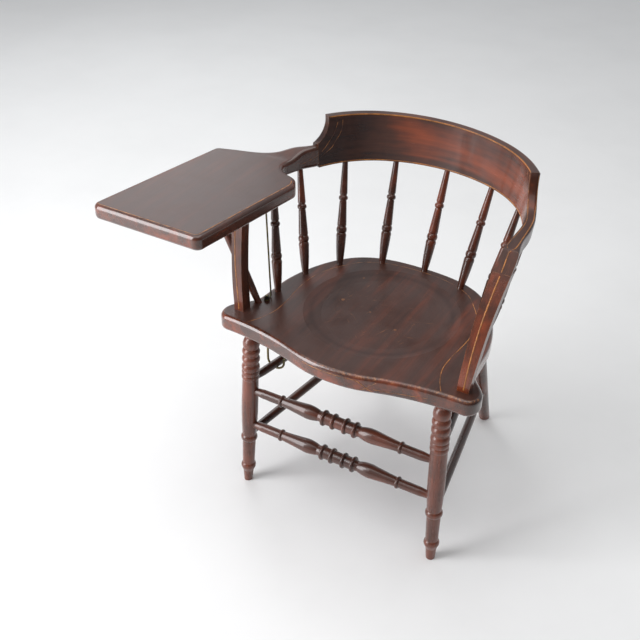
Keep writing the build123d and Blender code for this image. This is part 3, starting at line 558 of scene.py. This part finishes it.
def varnished(
    name, grain, varnish, redness=0.0, film=0.0, dust=0.0, glossy=0.0, edges=0.5, seed=0.0,
    figured=0.9, coat=0.5, painted_shade_spans=(), marks=(), seat=False,
):
    """Old varnish over straight-grained wood.

    redness moves the colour towards bare red wood, film adds the dull grey-brown film of a flat
    top, and dust a paler one everywhere. glossy takes away roughness, edges is how much the
    arrises are rubbed, figured is how strong the figure shows, coat is the clear gloss off the
    film, and marks are small worn spots. Each painted shade span gives two places across, in mm,
    between which a painted shade darkens one end of a rail and dulls its gloss, and by how much. A
    seat has wear of its own, redder sides and a painted shade along the rim of its hollow.
    """
    made, bench = new_material(name)
    board = along_bow(bench) if grain == "BOW" else along_axis(bench, grain)
    board = bench.mapped(board, Location=(seed, seed, seed))
    coordinates = bench.place()

    figure = bench.drawn_out(board, *FIGURE)
    streaks = bench.drawn_out(board, *STREAKS)
    fibres = bench.drawn_out(board, *FIBRES)
    patches = bench.noise(board, *PATCHES)
    specks = bench.noise(board, *SPECKS)
    flat = 0.0
    if film:
        flat = bench.between(bench.parts(bench.normal())[2], *FLAT_LIMITS)

    # the tone, from thick dark varnish to bare red wood
    tone = bench.scaled(figure, figured, -0.5 * figured)
    tone = bench.varied(tone, patches, TONE_BY_PATCHES)
    tone = bench.varied(tone, streaks, TONE_BY_STREAKS)
    tone = bench.math("ADD", tone, TONE + redness)
    # painted shade: across each span the tone turns darker towards the less lit end of a rail and
    # the clear gloss fades with it; thin is 1 on the lit part and 0 under the shade
    for low, high, amount in painted_shade_spans:
        across = bench.parts(coordinates)[0]
        thin = bench.between(across, spot(low, 0, 0).x, spot(high, 0, 0).x)
        tone = bench.math("ADD", tone, bench.scaled(thin, amount, -amount))
        coat = bench.times(coat, bench.scaled(thin, 1.0 - PAINTED_SHADE_GLOSS, PAINTED_SHADE_GLOSS))
    if seat:
        redder = bench.scaled(flat, -SEAT_SIDES_REDDER, SEAT_SIDES_REDDER)
        tone = bench.math("ADD", tone, redder)

    # the colours under any wear
    brown = bench.between(tone, *BROWN_LIMITS)
    colour = bench.mix(brown, rgba(varnish.dark), rgba(varnish.brown))
    colour = bench.mix(bench.between(tone, *RED_LIMITS), colour, rgba(varnish.red))
    if film:
        cover = bench.times(bench.between(patches, *FILM_LIMITS), bench.times(flat, film))
        colour = bench.mix(cover, colour, rgba(varnish.grime))
    if dust:
        paler = rgba([DUST_PALER * part for part in varnish.grime])
        colour = bench.mix(bench.times(patches, dust), colour, paler)
    if seat:
        # painted shade: a dark ring along the rim of the hollow, all the way round
        inwards = bench.math("ABSOLUTE", dish_place(bench, coordinates))
        rim = bench.opposite(bench.between(inwards, 0.0, RIM_SHADE_WIDTH))
        colour = bench.mix(bench.times(rim, RIM_SHADE_SHOWS), colour, rgba(varnish.dark))
    colour = bench.mix(1.0, colour, bench.scaled(fibres, *FIBRES_DARKEN), "MULTIPLY")

    # where the varnish is rubbed off
    dents = bench.between(specks, *DENT_LIMITS)
    scratches = bench.between(bench.drawn_out(board, *SCRATCHES), *SCRATCH_LIMITS)
    rub = bench.times(edge_mask(bench), edges)
    rub = bench.times(rub, bench.between(specks, *ARRIS_SPECKS_LIMITS))
    rub = bench.most(rub, bench.times(dents, DENTS_SHOW))
    rub = bench.most(rub, bench.times(scratches, SCRATCHES_SHOW))
    if marks:
        rub = bench.most(rub, bench.times(spot_mask(bench, marks), MARKS_SHOW))
    if seat:
        rub = bench.most(rub, chipped_front(bench, coordinates))
        rub = bench.most(rub, sat_on(bench, coordinates))
    colour = bench.mix(rub, colour, rgba(varnish.worn))

    # how rough it is, and how much clear gloss is left
    uneven = UNEVEN_FILM if film > WHOLE_FILM else UNEVEN
    dull = bench.scaled(patches, uneven, varnish.roughness - 0.5 * uneven - glossy)
    if film:
        dull = bench.scaled(flat, FILM_ROUGHNESS * film, dull)
        coat = bench.times(bench.scaled(flat, -FILM_GLOSS_LOSS, 1.0), coat)
    dull = bench.varied(dull, fibres, FIBRES_ROUGHNESS)
    dull = bench.scaled(rub, RUB_ROUGHNESS, dull, clamp=True)

    height = bench.scaled(fibres, FIBRES_HEIGHT, bench.times(streaks, STREAKS_HEIGHT))
    height = bench.math("SUBTRACT", height, bench.times(dents, DENTS_DEPTH))
    bench.finish(
        {
            "Base Color": colour,
            "Roughness": dull,
            "IOR": VARNISH_IOR,
            "Coat Weight": coat,
            "Coat Roughness": COAT_ROUGHNESS,
        },
        (*WOOD_BUMP, height),
    )
    return made


# ---------------------------------------------------------------- metal and paint
# noise is given by its scale, detail and roughness, and bumps by their strength and distance
TARNISH = (120.0, 4.0, 0.6)
METAL_GRIT = (900.0, 2.0, 0.6)
METAL_BUMP = (0.3, 0.0003)
TARNISH_LIMITS = (0.40, 0.62)
TARNISH_ROUGHNESS = 0.35
METAL_SHINE = 0.17

PAINT_BREAKS = (55.0, 4.0, 0.65)
PAINT_GRIT = (600.0, 2.0, 0.6)
PAINT_BUMP = (0.2, 0.0002)
PAINT_ROUGHNESS = (0.2, 0.3)  # gain and offset
# a wider line keeps more of its paint
KEPT_BY_SHARE = 0.45
KEPT_LIMITS = (0.62, 0.98)
KEPT_GRIT_LIMITS = (0.20, 0.55)
AGED_LIMITS = (0.35, 0.65)
AGED_DARKER = 0.55


def old_metal(name, colour, dark, metallic, roughness):
    """Tarnished metal: patches of its own colour and of a darker one."""
    made, bench = new_material(name)
    coordinates = bench.place()
    patches = bench.noise(coordinates, *TARNISH)
    grit = bench.noise(coordinates, *METAL_GRIT)
    tint = bench.mix(bench.between(patches, *TARNISH_LIMITS), rgba(dark), rgba(colour))
    dull = bench.scaled(patches, TARNISH_ROUGHNESS, roughness - METAL_SHINE, clamp=True)
    inputs = {"Base Color": tint, "Roughness": dull, "Metallic": metallic}
    bench.finish(inputs, (*METAL_BUMP, grit))
    return made


def old_paint(name, paint, varnish):
    """Thin gold paint, broken where it has worn off and darkened by the varnish over it."""
    made, bench = new_material(name)
    coordinates = bench.place()
    share = bench.add("ShaderNodeAttribute", attribute_name="share").outputs["Fac"]
    breaks = bench.noise(coordinates, *PAINT_BREAKS)
    grit = bench.noise(coordinates, *PAINT_GRIT)
    kept = bench.between(bench.scaled(share, KEPT_BY_SHARE, breaks), *KEPT_LIMITS)
    kept = bench.times(kept, bench.between(grit, *KEPT_GRIT_LIMITS))
    darker = rgba([AGED_DARKER * part for part in paint])
    aged = bench.mix(bench.between(breaks, *AGED_LIMITS), darker, rgba(paint))
    colour = bench.mix(kept, rgba(varnish.brown), aged)
    dull = bench.scaled(grit, *PAINT_ROUGHNESS)
    bench.finish({"Base Color": colour, "Roughness": dull}, (*PAINT_BUMP, grit))
    return made


# ---------------------------------------------------------------- painted lines
# how many of its widths a line runs from one cross section to the next
SECTION_WIDTHS = 2


def line_tree():
    """A tree that lays a strip of paint along each path, on the nearest face of its carrier."""
    tree = bpy.data.node_groups.new("painted_line", "GeometryNodeTree")
    for name, kind in (
        ("Path", "NodeSocketGeometry"),
        ("Carrier", "NodeSocketObject"),
        ("Width", "NodeSocketFloat"),
        ("Height", "NodeSocketFloat"),
        ("Step", "NodeSocketFloat"),
        ("Paint", "NodeSocketMaterial"),
    ):
        tree.interface.new_socket(name, in_out="INPUT", socket_type=kind)
    tree.interface.new_socket("Strip", in_out="OUTPUT", socket_type="NodeSocketGeometry")
    bench = Bench(tree)

    def step(kind, inputs=None, **settings):
        """The first output of a new geometry node."""
        return bench.add("GeometryNode" + kind, inputs, **settings).outputs[0]

    given = bench.add("NodeGroupInput").outputs
    path = step("MeshToCurve", {"Mesh": given["Path"]})
    path = step("CurveSplineType", {"Curve": path}, spline_type="CATMULL_ROM")
    path = step("ResampleCurve", {"Curve": path, "Length": given["Step"]}, mode="LENGTH")
    carrier = bench.add("GeometryNodeObjectInfo", {"Object": given["Carrier"]})
    wood = carrier.outputs["Geometry"]
    near = bench.add("GeometryNodeProximity", {0: wood}).outputs["Position"]
    surface = {"Mesh": wood, "Value": step("InputNormal")}
    facing = step("SampleNearestSurface", surface, data_type="FLOAT_VECTOR")
    path = step("SetCurveNormal", {"Curve": path, "Normal": facing}, mode="FREE")
    path = step("SetPosition", {"Geometry": path, "Position": near})
    size = {"Width": given["Height"], "Height": given["Width"]}
    section = step("CurvePrimitiveQuadrilateral", size)
    share = step("InputNamedAttribute", {"Name": "share"}, data_type="FLOAT")
    sweep = {"Curve": path, "Profile Curve": section, "Scale": share, "Fill Caps": True}
    strip = step("CurveToMesh", sweep)
    strip = step("RealizeInstances", {0: strip})
    strip = step("SetMaterial", {0: strip, "Material": given["Paint"]})
    bench.add("NodeGroupOutput", {0: strip})
    return tree


def laid_strip(name, lines, carrier, tree, settings, paint):
    """One plain mesh with all the painted lines of a piece of wood."""
    points, joins, shares = [], [], []
    for share, line in lines:
        first = len(points)
        joins += [(first + step, first + step + 1) for step in range(len(line) - 1)]
        points += [spot(*point) for point in line]
        shares += [share] * len(line)
    mesh = bpy.data.meshes.new(name + "_path")
    mesh.from_pydata(points, joins, [])
    mesh.attributes.new("share", "FLOAT", "POINT").data.foreach_set("value", shares)
    maker = bpy.data.objects.new(name + "_path", mesh)
    bpy.context.scene.collection.objects.link(maker)
    laying = maker.modifiers.new("painted_line", "NODES")
    laying.node_group = tree
    values = {
        "Carrier": nodes[carrier],
        "Width": settings.width,
        "Height": settings.height,
        "Step": SECTION_WIDTHS * settings.width,
        "Paint": paint,
    }
    for socket in tree.interface.items_tree:
        if socket.name in values:
            laying[socket.identifier] = values[socket.name]
    evaluated = maker.evaluated_get(bpy.context.evaluated_depsgraph_get())
    strip = bpy.data.meshes.new_from_object(evaluated)
    bpy.data.objects.remove(maker)
    work = bmesh.new()
    work.from_mesh(strip)
    bmesh.ops.recalc_face_normals(work, faces=work.faces)
    work.to_mesh(strip)
    work.free()
    strip.name = name
    made = bpy.data.objects.new(name, strip)
    bpy.context.scene.collection.objects.link(made)
    return made


# ---------------------------------------------------------------- pieces
class CHAIR_OT_seat(bpy.types.Operator):
    """Varnish the plank seat"""

    bl_idname = "chair.seat"
    bl_label = "Seat"

    def execute(self, context):
        material = varnished(
            "seat_varnish", "Y", context.scene.chair_varnish, redness=0.07, film=0.65,
            glossy=0.07, edges=0.35, seed=0.31, figured=1.3, coat=1.0, marks=SEAT_MARKS,
            seat=True,
        )
        finish_nodes(["seat"], material)
        return {"FINISHED"}


class CHAIR_OT_bow(bpy.types.Operator):
    """Varnish the bent crest rail and arm"""

    bl_idname = "chair.bow"
    bl_label = "Crest rail and arm"

    def execute(self, context):
        material = varnished(
            "rail_varnish", "BOW", context.scene.chair_varnish, redness=0.33, film=0.75,
            glossy=0.06, edges=0.35, figured=1.4, coat=0.42,
            # painted shade: the rail darkens towards the tablet's end and, less, towards the arm's
            # end
            painted_shade_spans=((-205, -50, 0.56), (256, 205, 0.28)),
        )
        finish_nodes(["bow"], material)
        return {"FINISHED"}


class CHAIR_OT_tablet(bpy.types.Operator):
    """Varnish the writing tablet and its dowels"""

    bl_idname = "chair.tablet"
    bl_label = "Writing tablet"

    def execute(self, context):
        varnish = context.scene.chair_varnish
        material = varnished(
            "tablet_varnish", "Y", varnish, redness=0.12, film=0.78, glossy=0.05, seed=0.7,
            coat=1.0,
        )
        finish_nodes(["writing_tablet"], material)
        finish_nodes(["tablet_dowels"], varnished("dowel_wood", "Y", varnish, redness=0.6))
        return {"FINISHED"}


class CHAIR_OT_legs(bpy.types.Operator):
    """Varnish the four legs"""

    bl_idname = "chair.legs"
    bl_label = "Legs"

    def execute(self, context):
        varnish = context.scene.chair_varnish
        material = varnished("leg_varnish", "Z", varnish, redness=0.30, dust=0.45, seed=0.13)
        finish_nodes(named("leg_"), material)
        return {"FINISHED"}


class CHAIR_OT_stretchers(bpy.types.Operator):
    """Varnish the front, side and back stretchers"""

    bl_idname = "chair.stretchers"
    bl_label = "Stretchers"

    def execute(self, context):
        varnish = context.scene.chair_varnish
        across = varnished(
            "front_stretcher_varnish", "X", varnish, redness=0.1, dust=0.3, seed=0.5,
        )
        finish_nodes([*named("front_stretcher_"), "back_stretcher"], across)
        along = varnished("side_stretcher_varnish", "Y", varnish, redness=-0.15, seed=0.2)
        finish_nodes(named("side_stretcher_"), along)
        return {"FINISHED"}


class CHAIR_OT_spindles(bpy.types.Operator):
    """Varnish the nine spindles"""

    bl_idname = "chair.spindles"
    bl_label = "Spindles"

    def execute(self, context):
        varnish = context.scene.chair_varnish
        material = varnished("spindle_varnish", "Z", varnish, redness=0.15, glossy=0.03, seed=0.9)
        finish_nodes(named("spindle_"), material)
        return {"FINISHED"}


class CHAIR_OT_posts(bpy.types.Operator):
    """Varnish the two flat posts and the tablet's brace"""

    bl_idname = "chair.posts"
    bl_label = "Posts and brace"

    def execute(self, context):
        material = varnished(
            "post_varnish", "Z", context.scene.chair_varnish, redness=0.24, glossy=0.05,
            edges=0.45, seed=0.05,
        )
        finish_nodes(["arm_post", "tablet_post", "tablet_brace"], material)
        return {"FINISHED"}


class CHAIR_OT_ironwork(bpy.types.Operator):
    """Give the tie rod, the hooked bolt, its washer and its nut their old metal"""

    bl_idname = "chair.ironwork"
    bl_label = "Iron work"

    def execute(self, context):
        brass = old_metal(
            "tarnished_brass", colour=(0.24, 0.19, 0.07), dark=(0.10, 0.085, 0.035),
            metallic=0.5, roughness=0.42,
        )
        finish_nodes(["tie_rod", "hook_bolt"], brass)
        iron = old_metal(
            "dark_iron", colour=(0.045, 0.040, 0.036), dark=(0.06, 0.03, 0.018),
            metallic=0.7, roughness=0.55,
        )
        finish_nodes(["hook_nut", "hook_washer"], iron)
        return {"FINISHED"}


class CHAIR_OT_lines(bpy.types.Operator):
    """Lay the thin painted lines along the rail, the arm, the posts, the seat and the tablet"""

    bl_idname = "chair.lines"
    bl_label = "Painted lines"

    def execute(self, context):
        settings = context.scene.chair_lines
        paint = old_paint("old_gold_paint", settings.paint, context.scene.chair_varnish)
        tree = line_tree()
        for carrier, lines in PAINTED_LINES.items():
            strip = laid_strip(carrier + "_lines", lines, carrier, tree, settings, paint)
            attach(strip, ROOT)
        return {"FINISHED"}


# ---------------------------------------------------------------- stage
# in metres, apart from the camera's place
FLOOR_HALF = 15.0
FLOOR_SMUDGES = (3.0, 4.0, 0.6)  # scale, detail and roughness
SMUDGE_LIMITS = (0.3, 0.8)
SMUDGE_DARKER = 0.965
FLOOR_ROUGHNESS = 0.6

# the room's light is weaker on one side: which way that is, where it starts, and by how much
ROOM_COLOUR = (0.95, 0.97, 1.0)
WEAKER_WAY = (0.82, -0.55, -0.15)
WEAKER_LIMITS = (-0.25, 0.8)
WEAKER_BY = 0.72

# soft lights: name, place, width and height, share of the window's power, and colour
LIT_PLACE = (0.05, 0.0, 0.45)
LIGHTS = (
    ("window", (-1.9, -2.15, 1.6), (1.4, 3.1), 1.0, (0.98, 0.98, 1.0)),
    ("far_window", (-2.15, 1.85, 2.1), (1.3, 1.2), 0.14, (0.95, 0.98, 1.0)),
    ("ceiling", (-0.2, -0.1, 3.2), (3.0, 3.0), 0.40, (1.0, 0.99, 0.97)),
)

# the camera's place in mm, given as the chair's own lines are, and its shift
CAMERA_PLACE = (745.8, -1541.2, 1606.6)
CAMERA_SHIFT = (-0.0055, 0.0068)


def pale_floor(colour):
    """Lay a wide pale floor with faint smudges."""
    half = FLOOR_HALF
    mesh = bpy.data.meshes.new("pale_floor")
    corners = [(-half, -half, 0), (half, -half, 0), (half, half, 0), (-half, half, 0)]
    mesh.from_pydata(corners, [], [(0, 1, 2, 3)])
    floor = bpy.data.objects.new("pale_floor", mesh)
    bpy.context.scene.collection.objects.link(floor)
    material, bench = new_material("floor_paint")
    smudges = bench.between(bench.noise(bench.place(), *FLOOR_SMUDGES), *SMUDGE_LIMITS)
    darker = rgba([SMUDGE_DARKER * part for part in colour])
    tint = bench.mix(smudges, rgba(colour), darker)
    bench.finish({"Base Color": tint, "Roughness": FLOOR_ROUGHNESS})
    mesh.materials.append(material)


def soft_room(brightness):
    """Light the scene from all round, and more weakly from one side."""
    world = bpy.data.worlds.new("soft_room")
    world.use_nodes = True
    world.node_tree.nodes.clear()
    bench = Bench(world.node_tree)
    way = bench.add("ShaderNodeTexCoord").outputs["Generated"]
    away = bench.measured("DOT_PRODUCT", way, WEAKER_WAY)
    shade = bench.scaled(bench.between(away, *WEAKER_LIMITS), -WEAKER_BY, 1.0)
    light = {"Color": rgba(ROOM_COLOUR), "Strength": bench.times(shade, brightness)}
    sky = bench.add("ShaderNodeBackground", light)
    bench.add("ShaderNodeOutputWorld", {"Surface": sky.outputs[0]})
    bpy.context.scene.world = world


def area_light(name, place, size, power, colour):
    """Hang a soft rectangular light that faces the chair."""
    light = bpy.data.lights.new(name, "AREA")
    light.shape = "RECTANGLE"
    light.size, light.size_y = size
    light.energy = power
    light.color = colour
    made = bpy.data.objects.new(name, light)
    made.location = place
    made.rotation_euler = (Vector(LIT_PLACE) - Vector(place)).to_track_quat("-Z", "Y").to_euler()
    bpy.context.scene.collection.objects.link(made)


def view_camera(azimuth, elevation, roll, lens):
    """Place the scene's camera, turned by these angles."""
    data = bpy.data.cameras.new("view")
    data.lens = lens
    data.shift_x, data.shift_y = CAMERA_SHIFT
    camera = bpy.data.objects.new("view", data)
    flat = cos(elevation)
    look = Vector((-sin(azimuth) * flat, cos(azimuth) * flat, -sin(elevation)))
    right = Vector((cos(azimuth), sin(azimuth), 0))
    up = right.cross(look)
    tipped_right = right * cos(roll) + up * sin(roll)
    tipped_up = up * cos(roll) - right * sin(roll)
    turn = Matrix((tipped_right, tipped_up, -look)).transposed()
    camera.matrix_world = Matrix.Translation(spot(*CAMERA_PLACE)) @ turn.to_4x4()
    bpy.context.scene.collection.objects.link(camera)
    bpy.context.scene.camera = camera


class CHAIR_OT_stage(bpy.types.Operator):
    """Lay the pale floor, set the soft light and place the camera"""

    bl_idname = "chair.stage"
    bl_label = "Stage"

    def execute(self, context):
        stage = context.scene.chair_stage
        pale_floor(stage.floor)
        soft_room(stage.room)
        for name, place, size, share, colour in LIGHTS:
            area_light(name, place, size, share * stage.key, colour)
        context.scene.view_settings.view_transform = "Standard"
        view_camera(stage.azimuth, stage.elevation, stage.roll, stage.lens)
        return {"FINISHED"}


# ---------------------------------------------------------------- the add-on
OPERATORS = (
    CHAIR_OT_seat,
    CHAIR_OT_bow,
    CHAIR_OT_tablet,
    CHAIR_OT_legs,
    CHAIR_OT_stretchers,
    CHAIR_OT_spindles,
    CHAIR_OT_posts,
    CHAIR_OT_ironwork,
    CHAIR_OT_lines,
    CHAIR_OT_stage,
)


class CHAIR_PT_panel(bpy.types.Panel):
    """The chair's settings and its pieces"""

    bl_idname = "CHAIR_PT_panel"
    bl_label = "Writing Arm Windsor Chair"
    bl_space_type = "VIEW_3D"
    bl_region_type = "UI"
    bl_category = "Chair"

    def draw(self, context):
        for settings in (
            context.scene.chair_varnish,
            context.scene.chair_lines,
            context.scene.chair_stage,
        ):
            box = self.layout.box()
            for name in settings.__annotations__:
                box.prop(settings, name)
        for operator in OPERATORS:
            self.layout.operator(operator.bl_idname)


CLASSES = (VarnishSettings, LineSettings, StageSettings, *OPERATORS, CHAIR_PT_panel)


def register():
    for cls in CLASSES:
        bpy.utils.register_class(cls)
    bpy.types.Scene.chair_varnish = bpy.props.PointerProperty(type=VarnishSettings)
    bpy.types.Scene.chair_lines = bpy.props.PointerProperty(type=LineSettings)
    bpy.types.Scene.chair_stage = bpy.props.PointerProperty(type=StageSettings)


def unregister():
    del bpy.types.Scene.chair_stage
    del bpy.types.Scene.chair_lines
    del bpy.types.Scene.chair_varnish
    for cls in reversed(CLASSES):
        bpy.utils.unregister_class(cls)


def main():
    """Make every piece in order."""
    register()
    for operator in OPERATORS:
        group, name = operator.bl_idname.split(".")
        getattr(getattr(bpy.ops, group), name)()


if __name__ == "__main__":
    main()
